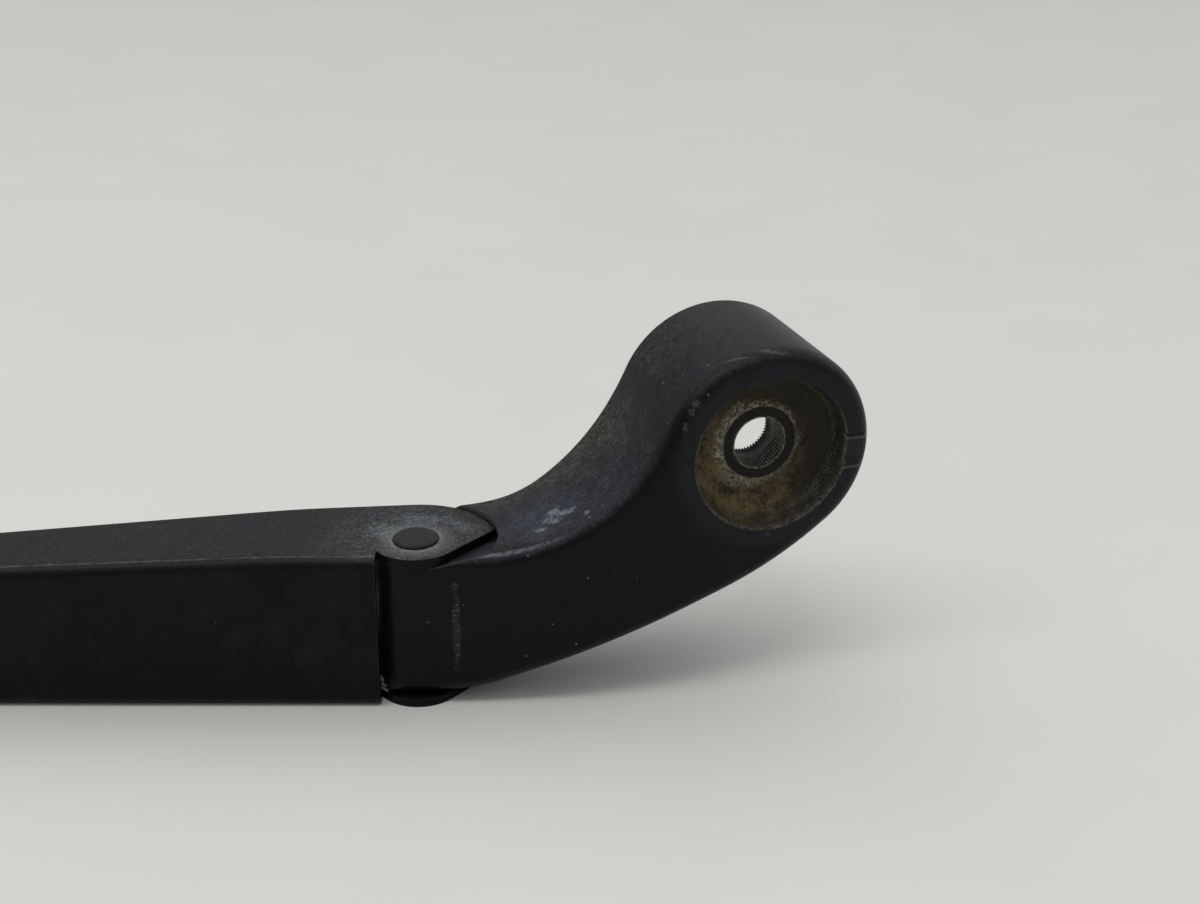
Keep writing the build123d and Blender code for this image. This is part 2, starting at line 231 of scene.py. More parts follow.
def crease_group():
    """Merges doubled points, then shades smooth apart from edges steeper than the crease angle."""
    tree = bpy.data.node_groups.new("smooth_with_creases", "GeometryNodeTree")
    for way in ("INPUT", "OUTPUT"):
        tree.interface.new_socket("Geometry", in_out=way, socket_type="NodeSocketGeometry")
    values = {"Geometry": tree.nodes.new("NodeGroupInput").outputs[0], "Distance": merge_distance}
    merged = node(tree, "GeometryNodeMergeByDistance", values).outputs[0]
    smooth = node(tree, "GeometryNodeSetShadeSmooth", {"Geometry": merged}).outputs[0]
    angle = tree.nodes.new("GeometryNodeInputMeshEdgeAngle").outputs["Unsigned Angle"]
    steep = node(tree, "FunctionNodeCompare", {0: angle, 1: crease_angle}, operation="GREATER_THAN")
    values = {"Geometry": smooth, "Selection": steep.outputs["Result"], "Shade Smooth": False}
    creased = node(tree, "GeometryNodeSetShadeSmooth", values, domain="EDGE").outputs[0]
    node(tree, "NodeGroupOutput", {0: creased})
    return tree


smooth_with_creases = crease_group()
for solid in nodes.values():
    stored_normals = solid.data.attributes.get("custom_normal")
    if stored_normals:
        solid.data.attributes.remove(stored_normals)
    solid.modifiers.new("creases", "NODES").node_group = smooth_with_creases
print("smoothed", len(nodes), "solids")

# %% [markdown]
# ## Where a point of the surface lies
#
# Marks have to stay on their piece when the arm is lifted, so they are placed by the piece's own
# coordinates and not by the world's. Two groups do this for every material. One gives the place in
# millimetres with the facing of the surface, the other gives the distance from an axis and the height
# along it, for the nut recess and the rivet.

# %% Build the place group and the axis group


def build_piece_place():
    """The place on the piece in millimetres, the facing of the surface and how far it faces up."""
    tree, _, out = group("piece_place", {}, {"Place": VECTOR, "Up": VALUE, "Facing": VECTOR})
    coordinates = tree.nodes.new("ShaderNodeTexCoord").outputs
    values = {0: coordinates["Object"], "Scale": 1 / MM}
    scaled = node(tree, "ShaderNodeVectorMath", values, operation="SCALE").outputs[0]
    facing = coordinates["Normal"]
    return give(tree, out, Place=scaled, Facing=facing, Up=axes(tree, facing)["Z"])


def build_round_axis():
    """Distance from an axis and height along it, in millimetres."""
    start = {"Place": ORIGIN, "Centre": ORIGIN, "Axis": (0.0, 0.0, 1.0)}
    tree, given, out = group("round_axis", start, {"Distance": VALUE, "Height": VALUE})
    offset = vector(tree, "SUBTRACT", given["Place"], given["Centre"])[0]
    height = vector(tree, "DOT_PRODUCT", offset, given["Axis"])["Value"]
    across = vector(tree, "CROSS_PRODUCT", offset, given["Axis"])[0]
    return give(tree, out, Distance=vector(tree, "LENGTH", across)["Value"], Height=height)


piece_place = build_piece_place()
round_axis = build_round_axis()
print("built", piece_place.name, "and", round_axis.name)

# %% [markdown]
# ## Wear that many finishes share
#
# Paint on a used arm tells its story in a few marks: ragged patches where something rubbed, pale edges,
# tiny specks of grit and chipped paint, fine scratches, and dust on what faces up, whose grey film is
# partly painted light that makes the upper faces lighter. Each is one group that puts out a mask, so a
# material decides what colour and gloss the mark has. A painted texture could show the same marks, but a
# group stays sharp at any distance and can be moved to another piece.

# %% Build the patch, edge, speck, scratch and dust groups


def build_rubbed_patch():
    """A ragged patch with a centre and a reach along each axis, in millimetres."""
    start = {"Place": ORIGIN, "Centre": ORIGIN, "Reach": (1.0, 1.0, 1.0), "Raggedness": 0.8, "Grain": 0.8}
    tree, given, out = group("rubbed_patch", start, {"Mask": VALUE})
    offset = vector(tree, "SUBTRACT", given["Place"], given["Centre"])[0]
    shares = vector(tree, "DIVIDE", offset, given["Reach"])[0]
    cloud = noise(tree, given["Place"], given["Grain"], 6.0, 0.7)
    broken = fray(tree, vector(tree, "LENGTH", shares)["Value"], cloud, given["Raggedness"])
    return give(tree, out, Mask=ramp(tree, broken, 1.0, 0.45))


def build_edge_wear():
    """Wear along sharp outer edges, broken by noise, and the softened normal. Reach is in millimetres."""
    start = {"Place": ORIGIN, "Reach": 0.5, "Raggedness": 0.5}
    tree, given, out = group("edge_wear", start, {"Mask": VALUE, "Normal": VECTOR})
    radius = product(tree, given["Reach"], MM)
    rounded = node(tree, "ShaderNodeBevel", {"Radius": radius}, samples=4).outputs[0]
    flat = tree.nodes.new("ShaderNodeNewGeometry").outputs["Normal"]
    turn = calc(tree, "SUBTRACT", 1.0, vector(tree, "DOT_PRODUCT", rounded, flat)["Value"])
    broken = fray(tree, turn, noise(tree, given["Place"], 1.6, 6.0, 0.7), given["Raggedness"])
    open_air = node(tree, "ShaderNodeAmbientOcclusion", {"Distance": 1.5 * MM}, samples=4).outputs["AO"]
    worn = product(tree, ramp(tree, broken, 0.03, 0.22), ramp(tree, open_air, 0.45, 0.75))
    return give(tree, out, Mask=product(tree, worn, ramp(tree, turn, 0.008, 0.03)), Normal=rounded)


def build_grit_specks():
    """Round specks, in a Share of cells with a Spacing in millimetres. Size is for a cell of 1."""
    start = {"Place": ORIGIN, "Spacing": 3.0, "Size": 0.06, "Share": 0.5}
    tree, given, out = group("grit_specks", start, {"Mask": VALUE})
    values = {"Vector": given["Place"], "Scale": calc(tree, "DIVIDE", 1.0, given["Spacing"])}
    cells = node(tree, "ShaderNodeTexVoronoi", values, feature="F1").outputs
    draw = node(tree, "ShaderNodeSeparateColor", {0: cells["Color"]}).outputs
    chosen = calc(tree, "LESS_THAN", draw["Red"], given["Share"])
    size = product(tree, given["Size"], calc(tree, "ADD", draw["Green"], 0.35))
    return give(tree, out, Mask=product(tree, chosen, calc(tree, "LESS_THAN", cells["Distance"], size)))


def build_hair_scratches():
    """Fine scratches along one direction. Stretch shrinks the noise along each axis."""
    start = {"Place": ORIGIN, "Stretch": (0.05, 1.0, 2.5), "Turn": 0.3, "Share": 0.3}
    tree, given, out = group("hair_scratches", start, {"Mask": VALUE})
    values = {"Vector": given["Place"], "Angle": given["Turn"]}
    turned = node(tree, "ShaderNodeVectorRotate", values, rotation_type="Y_AXIS").outputs[0]
    drawn = vector(tree, "MULTIPLY", turned, given["Stretch"])[0]
    lines = calc(tree, "ABSOLUTE", calc(tree, "SUBTRACT", noise(tree, drawn, 1.0, 3.0, 0.5), 0.5))
    patches = ramp(tree, noise(tree, given["Place"], 0.12, 2.0), 0.45, 0.7)
    return give(tree, out, Mask=product(tree, ramp(tree, lines, 0.012, 0.002), patches, given["Share"]))


def build_dust_and_top_light():
    """Dust on what faces up, partly painted light on the upper faces: a thin cloudy film, a mottle and grains."""
    start = {"Place": ORIGIN, "Up": 0.0, "Flatness": 0.5}
    tree, given, out = group("dust_and_top_light", start, {"Film": VALUE, "Mottle": VALUE, "Grains": VALUE})
    lying = ramp(tree, calc(tree, "SUBTRACT", given["Up"], given["Flatness"]), 0.0, 0.3)
    layers = {
        "Film": ramp(tree, noise(tree, given["Place"], 0.16, 5.0, 0.65), 0.25, 0.75),
        "Mottle": ramp(tree, noise(tree, given["Place"], 0.9, 5.0, 0.75), 0.4, 0.64),
        "Grains": ramp(tree, noise(tree, given["Place"], 2.4, 4.0, 0.8), 0.5, 0.64),
    }
    return give(tree, out, **{label: product(tree, cloud, lying) for label, cloud in layers.items()})


def build_paint_skin():
    """The fine orange peel of sprayed paint as a height, and its slow cloudiness as a shade."""
    tree, given, out = group("paint_skin", {"Place": ORIGIN}, {"Height": VALUE, "Shade": VALUE})
    peel = noise(tree, given["Place"], 2.6, 3.0, 0.55)
    return give(tree, out, Height=peel, Shade=noise(tree, given["Place"], 0.22, 5.0, 0.65))


rubbed_patch = build_rubbed_patch()
edge_wear = build_edge_wear()
grit_specks = build_grit_specks()
hair_scratches = build_hair_scratches()
dust_and_top_light = build_dust_and_top_light()
paint_skin = build_paint_skin()
print("groups:", sorted(shared.name for shared in bpy.data.node_groups))

# %% [markdown]
# ## Building up a finish
#
# All the finishes here are opaque, so each begins as one Principled shader with its plain values set on
# its own sockets. Then it is built up as on the bench: a ground in two tones, one mark after another laid
# over it, and at the end the bump. A finish remembers its colour and roughness so far, so a mark takes
# one line.

# %% Define how a finish is built up


class Finish:
    """A material in the making, with the place of its surface, and its colour and roughness so far."""

    def __init__(self, name, specular=0.5, metallic=0.0):
        self.material = bpy.data.materials.new(name)
        self.material.use_nodes = True
        self.tree = self.material.node_tree
        self.shader = self.tree.nodes["Principled BSDF"]
        self.shader.inputs["Specular IOR Level"].default_value = specular
        self.shader.inputs["Metallic"].default_value = metallic
        at = place(self.tree, piece_place)
        self.where, self.up, self.facing = at["Place"], at["Up"], at["Facing"]

    def ground(self, cloud, dark, light, roughness, span):
        """The first coat: two tones mixed by a cloud, and a roughness that grows with it by a span."""
        self.colour = mix(self.tree, cloud, tone(dark), tone(light))
        self.roughness = spread(self.tree, cloud, span, roughness)

    def lay(self, mask, share, over, roughness):
        """A mark laid on the finish so far, where the mask says and to the given share."""
        mask = product(self.tree, mask, share)
        self.colour = mix(self.tree, mask, self.colour, tone(over) if isinstance(over, str) else over)
        self.roughness = mix_value(self.tree, mask, self.roughness, roughness)

    def spots(self, marks):
        """One mask for several rubbed patches, each given as centre, reach, raggedness and grain."""
        total = None
        for centre, reach, ragged, grain in marks:
            values = {"Centre": centre, "Reach": reach, "Raggedness": ragged, "Grain": grain}
            mask = place(self.tree, rubbed_patch, Place=self.where, **values)["Mask"]
            total = mask if total is None else calc(self.tree, "MAXIMUM", total, mask)
        return total

    def close(self, height, depth, softened=None):
        """Links colour, roughness and a bump of a depth in millimetres, on softened normals if any."""
        self.tree.links.new(self.colour, self.shader.inputs["Base Color"])
        self.tree.links.new(self.roughness, self.shader.inputs["Roughness"])
        values = {"Height": height, "Distance": depth * MM, "Strength": 1.0}
        bump = node(self.tree, "ShaderNodeBump", values)
        if softened:
            self.tree.links.new(softened, bump.inputs["Normal"])
        self.tree.links.new(bump.outputs[0], self.shader.inputs["Normal"])
        return self.material


print("finish helpers ready")

# %% [markdown]
# ## Black paint on the casting
#
# The head was cast, blasted and sprayed satin black. Years on a car have left a grey film of dust on what
# faces up, partly painted light that makes the upper faces lighter, brown dust along the neck's back edge
# and in the pocket of the ear, a bluish scuff beside the hinge, a pale line where the channel's end
# touches when the arm is lifted, and chips on the rim of the nut recess. Pale paint on the upper wall of
# the ear's pocket is painted light where that wall lies in shade, and pale lines along the front crest and
# the top of the rim are worn paint with a painted highlight. In the recess the paint is gone, but for a
# flaking edge on its right: brown dirt and rust cover its wall, paler towards the lower left and darker
# towards the upper right, partly dirt and partly painted light and shade; a pale crust of oxide rings the
# seat, and the nut has kept the seat itself dark and smooth. The notch in the rim has pale worn edges,
# with painted light on its shaded upper wall. One material holds all of this, with the recess told apart
# by its distance from the spindle axis.

# %% Say where the casting's marks are
boss_r = 17.0
mouth_r = 12.4
rim_h = 5.2
seat_r = 5.95
crust_r = 7.1
wall_r = 5.0
tooth_count = 54
pocket_r = 12.7
ear_top = -14.2
notch_low = -3.35
notch_high = 1.25
scuff_marks = [
    ((-31.9, -3.8, -10.3), (1.7, 1.1, 0.9), 2.4, 2.2),
    ((-30.4, -5.0, -9.8), (1.9, 0.8, 0.9), 2.4, 2.2),
    ((-29.2, -5.4, -9.2), (1.6, 0.8, 0.8), 2.4, 2.2),
    ((-32.7, -5.5, -10.9), (1.4, 1.0, 0.8), 2.4, 2.2),
    ((-31.5, -6.4, -10.6), (1.3, 0.8, 0.8), 2.4, 2.2),
    ((-33.8, -7.5, -11.6), (1.6, 0.6, 0.7), 2.4, 2.2),
    ((-26.7, -8.1, -8.2), (0.6, 0.7, 0.6), 2.4, 2.2),
]
scuff_veil = [((-31.5, -4.2, -11.0), (12.0, 7.0, 6.0), 1.3, 0.35)]
lift_line = [
    ((-46.6, -12.0, -26.2), (0.75, 2.0, 8.6), 1.6, 1.4),
    ((-46.7, -12.0, -18.9), (0.7, 2.0, 0.9), 1.4, 1.4),
]
rim_chips = [
    ((-10.9, -7.8, 9.5), (0.9, 0.7, 0.8), 2.6, 3.2),
    ((-11.5, -8.1, 8.2), (0.7, 0.5, 1.0), 2.6, 3.2),
    ((-12.4, -8.5, 5.9), (0.5, 0.5, 1.1), 2.6, 3.2),
    ((1.5, -5.0, -13.4), (0.8, 0.8, 0.6), 2.2, 2.6),
    ((-8.9, -3.2, 13.9), (0.5, 0.6, 0.35), 1.8, 1.8),
    ((-12.4, -1.1, 11.5), (0.3, 0.3, 0.3), 1.0, 1.3),
]
knuckle_stain = [((-56.6, -11.2, -37.4), (2.6, 2.0, 1.7), 1.8, 0.9)]
# Pale line on the top of the rim: a painted highlight over a slight rub.
rim_highlight_and_rub = [
    ((0.3, -3.9, 16.3), (4.0, 0.45, 0.8), 2.2, 2.4),
    ((-5.0, -4.9, 15.4), (3.5, 0.3, 0.8), 2.2, 2.4),
]
print("scuffs", len(scuff_marks), "chips", len(rim_chips))

# %% Colour the nut recess and the bore


def recess_colours(tree, where, distance):
    """Dirt, crust and bare seat of the recess: colour, roughness, height and a share towards the lower left."""
    # Paler and browner towards the lower left, darker towards the upper right: partly dirt, partly painted light
    # and shade.
    towards_lower_left = along_rim * -0.62 + Vector((0, 0, -0.78))
    dirty_and_lit_side = ramp(tree, vector(tree, "DOT_PRODUCT", where, towards_lower_left)["Value"], -7.0, 9.0)
    left_side = ramp(tree, axes(tree, where)["X"], 4.0, -5.0)
    blotch = noise(tree, where, 0.3, 6.0, 0.7)
    grain = noise(tree, where, 2.2, 5.0, 0.8)
    dirt = product(tree, ramp(tree, blotch, 0.32, 0.62), spread(tree, dirty_and_lit_side, 0.85, 0.15))
    colour = mix(tree, dirt, tone("2b281f"), tone("6a6146"))
    pale = product(tree, ramp(tree, grain, 0.53, 0.64), spread(tree, dirty_and_lit_side, 0.4, 0.3), 0.5)
    colour = mix(tree, pale, colour, tone("827a60"))
    colour = mix(tree, product(tree, ramp(tree, grain, 0.48, 0.36), 0.75), colour, tone("12100c"))
    rust = ramp(tree, noise(tree, where, 0.5, 5.0, 0.7), 0.52, 0.66)
    colour = mix(tree, product(tree, rust, 0.55), colour, tone("3f2815"))
    # Crust round the seat, thick on the left and broken by pits
    wobble = fray(tree, spread(tree, left_side, -1.2, distance), blotch, 4.6)
    ring = product(
        tree, ramp(tree, distance, seat_r - 0.05, seat_r + 0.2), ramp(tree, wobble, crust_r, seat_r - 0.2)
    )
    crumbly = ramp(tree, noise(tree, where, 1.9, 6.0, 0.85), 0.44, 0.56)
    crust = product(tree, ring, crumbly, spread(tree, left_side, 0.3, 0.5))
    colour = mix(tree, crust, colour, tone("b3aea0"))
    # Seat and bore lip
    seat = ramp(tree, distance, seat_r + 0.15, seat_r - 0.1)
    seat_tone = mix(tree, ramp(tree, grain, 0.35, 0.7), tone("1b1a17"), tone("292824"))
    colour = mix(tree, seat, colour, seat_tone)
    lip = product(tree, ramp(tree, distance, bore_r + 0.4, bore_r + 0.1), ramp(tree, grain, 0.4, 0.56), 0.8)
    colour = mix(tree, lip, colour, tone("8b867a"))
    roughness = mix_value(tree, seat, 0.9, 0.6)
    height = product(tree, calc(tree, "ADD", grain, crust), calc(tree, "SUBTRACT", 1.1, seat))
    return colour, roughness, height, dirty_and_lit_side


def bore_colours(tree, where):
    """Bare bore wall with the dark and pale stripes that the spindle's teeth have left, and the stripes."""
    across = vector(tree, "DOT_PRODUCT", where, along_rim)["Value"]
    turn = calc(tree, "ARCTAN2", axes(tree, where)["Z"], across)
    stripes = ramp(tree, calc(tree, "SINE", product(tree, turn, tooth_count)), -0.3, 0.6)
    pale = product(tree, stripes, ramp(tree, noise(tree, where, 1.3, 5.0, 0.75), 0.38, 0.58))
    return mix(tree, pale, tone("1d1b17"), tone("8d897d")), stripes


def bare_the_recess(paint, skin, grainy, height):
    """Lays the rim's haze, the recess, its mouth, the notch and the bore, and adds their heights."""
    tree, where = paint.tree, paint.where
    spot = axes(tree, where)
    round_spindle = place(tree, round_axis, Place=where, Axis=outward)
    distance, rise = round_spindle["Distance"], round_spindle["Height"]
    within = ramp(tree, distance, boss_r, boss_r - 3.0)
    on_rim = product(tree, ramp(tree, rise, rim_h - 0.6, rim_h - 0.1), within)
    hazy = spread(tree, skin["Shade"], 0.4, spread(tree, grainy, 0.45, 0.05))
    paint.lay(on_rim, hazy, "26272a", 0.5)
    # Stained paint round the bare wall, and the wall itself
    recess, recess_rough, recess_height, dirty_and_lit_side = recess_colours(tree, where, distance)
    ragged = fray(tree, distance, noise(tree, where, 0.8, 6.0, 0.75), 4.0)
    kept = spread(tree, dirty_and_lit_side, -3.6, calc(tree, "ADD", ragged, 4.0))
    bare = product(
        tree,
        ramp(tree, kept, mouth_r + 0.8, mouth_r - 1.4),
        ramp(tree, rise, -0.3, -0.1),
        ramp(tree, distance, mouth_r + 0.3, mouth_r),
    )
    speckled = spread(tree, ramp(tree, grainy, 0.2, 0.8), 0.65, 0.25)
    paint.lay(ramp(tree, distance, mouth_r + 0.2, mouth_r - 0.3), speckled, "38342a", 0.75)
    paint.lay(bare, 1.0, recess, recess_rough)
    # Worn mouth, and the line of flaking paint inside its right side
    mouth = product(
        tree,
        band(tree, distance, mouth_r - 0.3, mouth_r, mouth_r + 0.1, mouth_r + 0.35),
        ramp(tree, noise(tree, where, 1.4, 6.0, 0.8), 0.42, 0.58),
        ramp(tree, spot["Z"], 11.0, 0.0),
        ramp(tree, rise, 3.0, 4.0),
    )
    paint.lay(mouth, 0.45, "7b7766", 0.7)
    broken = fray(tree, distance, noise(tree, where, 0.7, 6.0, 0.75), 2.4)
    flake = product(
        tree,
        band(tree, broken, mouth_r - 1.3, mouth_r - 1.0, mouth_r - 0.7, mouth_r - 0.4),
        ramp(tree, spot["X"], 2.0, 7.0),
        ramp(tree, grainy, 0.2, 0.7),
        ramp(tree, rise, 1.0, 2.5),
    )
    paint.lay(flake, 0.45, "6b675a", 0.7)
    # Rim notch, its pale worn edges, and painted light on its shaded upper wall
    from_top = calc(tree, "SUBTRACT", spot["Z"], notch_high)
    from_foot = calc(tree, "SUBTRACT", spot["Z"], notch_low)
    past_mouth = ramp(tree, distance, mouth_r, mouth_r + 0.2)
    notch = product(
        tree,
        ramp(tree, from_foot, -0.15, 0.15),
        ramp(tree, from_top, 0.15, -0.15),
        band(tree, rise, rim_h - 2.0, rim_h - 1.6, rim_h - 0.3, rim_h - 0.1),
        ramp(tree, spot["X"], 9.0, 10.0),
        past_mouth,
    )
    paint.lay(notch, 0.5, "3a3934", 0.75)
    # The upper band runs down the notch's upper wall: worn edge at the top, painted light on the shaded wall.
    above = band(tree, from_top, -0.25, -0.15, 0.15, 0.35)
    below = band(tree, from_foot, -0.35, -0.15, 0.05, 0.15)
    edges = product(
        tree,
        calc(tree, "MAXIMUM", above, below),
        ramp(tree, rise, rim_h - 1.6, rim_h - 1.2),
        ramp(tree, spot["X"], 10.0, 11.0),
        past_mouth,
        spread(tree, grainy, 0.7, 0.3),
    )
    paint.lay(edges, 0.6, "6a6b68", 0.6)
    # Bore
    inside = product(tree, ramp(tree, distance, wall_r + 0.2, wall_r), ramp(tree, rise, -0.1, -0.4))
    bore_tone, stripes = bore_colours(tree, where)
    paint.lay(inside, 1.0, bore_tone, 0.5)
    return mix_value(tree, inside, mix_value(tree, bare, height, recess_height), stripes)


print("recess ready")

# %% Make the casting's paint


def lay_dust_and_top_light(paint, skin):
    """Lays a grey film and grains on what faces up, dust and partly painted light, browner at the neck's back."""
    tree, where = paint.tree, paint.where
    spot = axes(tree, where)
    # The grey film and mottle on what faces up are dust, and partly painted light that lightens the upper faces.
    dust_and_light = place(tree, dust_and_top_light, Place=where, Up=paint.up, Flatness=0.35)
    on_neck = product(tree, ramp(tree, spot["X"], -4.0, -18.0), ramp(tree, spot["Z"], 16.0, 2.0))
    paint.lay(dust_and_light["Film"], spread(tree, on_neck, 0.3, 0.26), "2c2f34", 0.55)
    paint.lay(dust_and_light["Mottle"], 0.3, "3a3d42", 0.6)
    uneven = product(tree, on_neck, ramp(tree, skin["Shade"], 0.42, 0.66))
    grains = product(tree, dust_and_light["Grains"], spread(tree, uneven, 0.3, 0.09))
    paint.lay(grains, 1.0, "66696b", 0.75)
    lying = spread(tree, dust_and_light["Mottle"], 0.5, dust_and_light["Grains"])
    backwards = ramp(tree, fray(tree, spot["Y"], skin["Shade"], 14.0), -1.0, 9.0)
    paint.lay(product(tree, lying, backwards, spread(tree, on_neck, 0.8, 0.2)), 0.6, "5f5d4d", 0.8)
    return dust_and_light, grains


def rub_the_casting(paint, dust_and_light, grainy):
    """Lays scuffs, lift line, painted light on the pocket wall, painted highlights, edges, chips, grit."""
    tree, where = paint.tree, paint.where
    spot, faced = axes(tree, where), axes(tree, paint.facing)
    half_grainy = spread(tree, grainy, 0.6, 0.4)
    cloudy = spread(tree, dust_and_light["Mottle"], 0.7, 0.15)
    paint.lay(product(tree, paint.spots(scuff_veil), cloudy), 0.6, "464b58", 0.6)
    paint.lay(product(tree, paint.spots(scuff_marks), grainy), 0.5, "9aa0aa", 0.7)
    paint.lay(product(tree, paint.spots(knuckle_stain), half_grainy), 0.5, "34322b", 0.75)
    line = paint.spots(lift_line)
    paint.lay(line, 0.22, "4c4d4c", 0.6)
    flaked = ramp(tree, noise(tree, where, 1.5, 5.0, 0.8), 0.54, 0.62)
    paint.lay(product(tree, line, flaked), 0.45, "8a8a85", 0.7)
    round_hinge = place(tree, round_axis, Place=where, Centre=hinge)["Distance"]
    # Pale paint on the upper wall of the ear's pocket is painted light where the wall lies in shade.
    pocket_wall_painted_light = product(
        tree,
        band(tree, round_hinge, pocket_r - 0.4, pocket_r - 0.1, pocket_r + 0.6, pocket_r + 1.0),
        ramp(tree, spot["Z"], ear_top - 0.4, ear_top + 0.3),
        ramp(tree, faced["Z"], 0.7, 0.4),
        half_grainy,
    )
    paint.lay(pocket_wall_painted_light, 0.5, "6b6d6a", 0.8)
    # The pale line along the front crest is worn paint and a painted highlight.
    crest_wear_and_highlight = product(
        tree,
        band(tree, faced["Y"], -0.78, -0.67, -0.6, -0.5),
        ramp(tree, faced["Z"], 0.35, 0.5),
        ramp(tree, spot["X"], -27.0, -38.0),
        ramp(tree, noise(tree, where, 1.1, 6.0, 0.75), 0.36, 0.58),
    )
    paint.lay(crest_wear_and_highlight, 0.5, "80838a", 0.5)
    # A painted highlight with a slight rub on the top of the rim.
    paint.lay(product(tree, paint.spots(rim_highlight_and_rub), grainy), 0.35, "77787a", 0.45)
    worn = place(tree, edge_wear, Place=where, Reach=0.35, Raggedness=0.5)
    paint.lay(worn["Mask"], 0.5, "5d5e5a", 0.55)
    chips = product(tree, paint.spots(rim_chips), ramp(tree, grainy, 0.15, 0.75))
    paint.lay(chips, 0.3, "6f6f69", 0.7)
    specks = place(tree, grit_specks, Place=where, Spacing=1.9, Size=0.08, Share=0.25)["Mask"]
    paint.lay(specks, 0.45, "7f817b", 0.8)
    return worn["Normal"], chips


def make_casting_paint():
    """Worn satin black over the casting, with the bare, dirty nut recess."""
    paint = Finish("casting_paint", specular=0.11)
    tree, where = paint.tree, paint.where
    skin = place(tree, paint_skin, Place=where)
    grainy = ramp(tree, noise(tree, where, 2.6, 4.0, 0.8), 0.36, 0.6)
    paint.ground(skin["Shade"], "0b0c0e", "131417", 0.26, 0.16)
    dust_and_light, grains = lay_dust_and_top_light(paint, skin)
    softened, chips = rub_the_casting(paint, dust_and_light, grainy)
    height = spread(tree, chips, -0.3, product(tree, skin["Height"], 0.3))
    height = bare_the_recess(paint, skin, grainy, spread(tree, grains, 0.7, height))
    return paint.close(height, 0.07, softened)


casting_paint = make_casting_paint()
print("made", casting_paint.name, "with", len(casting_paint.node_tree.nodes), "nodes")

# %% [markdown]
# ## Black paint on the pressed sheet
#
# The channel and the strip were pressed from sheet and painted in the same black. Hands and cloths have
# polished the channel's front, its upper front bend has gone a little grey and carries a painted highlight
# line, and round the rivet the paint is rubbed to a pale, speckled ring. The ring is a distance from the
# hinge axis, so it needs no drawing.

# %% Make the sheet's paint
ring_inner = 3.6
ring_outer = 6.6
ear_reach = 19.0
ear_scuffs = [
    ((-45.8, -1.4, -14.2), (2.2, 2.2, 1.0), 2.6, 2.0),
    ((-47.0, 0.1, -14.2), (1.4, 1.2, 1.0), 2.6, 2.0),
    ((-58.0, -2.5, -14.2), (3.2, 3.2, 1.0), 2.6, 1.4),
    ((-52.5, 1.2, -14.2), (5.5, 2.0, 1.0), 2.6, 1.4),
]


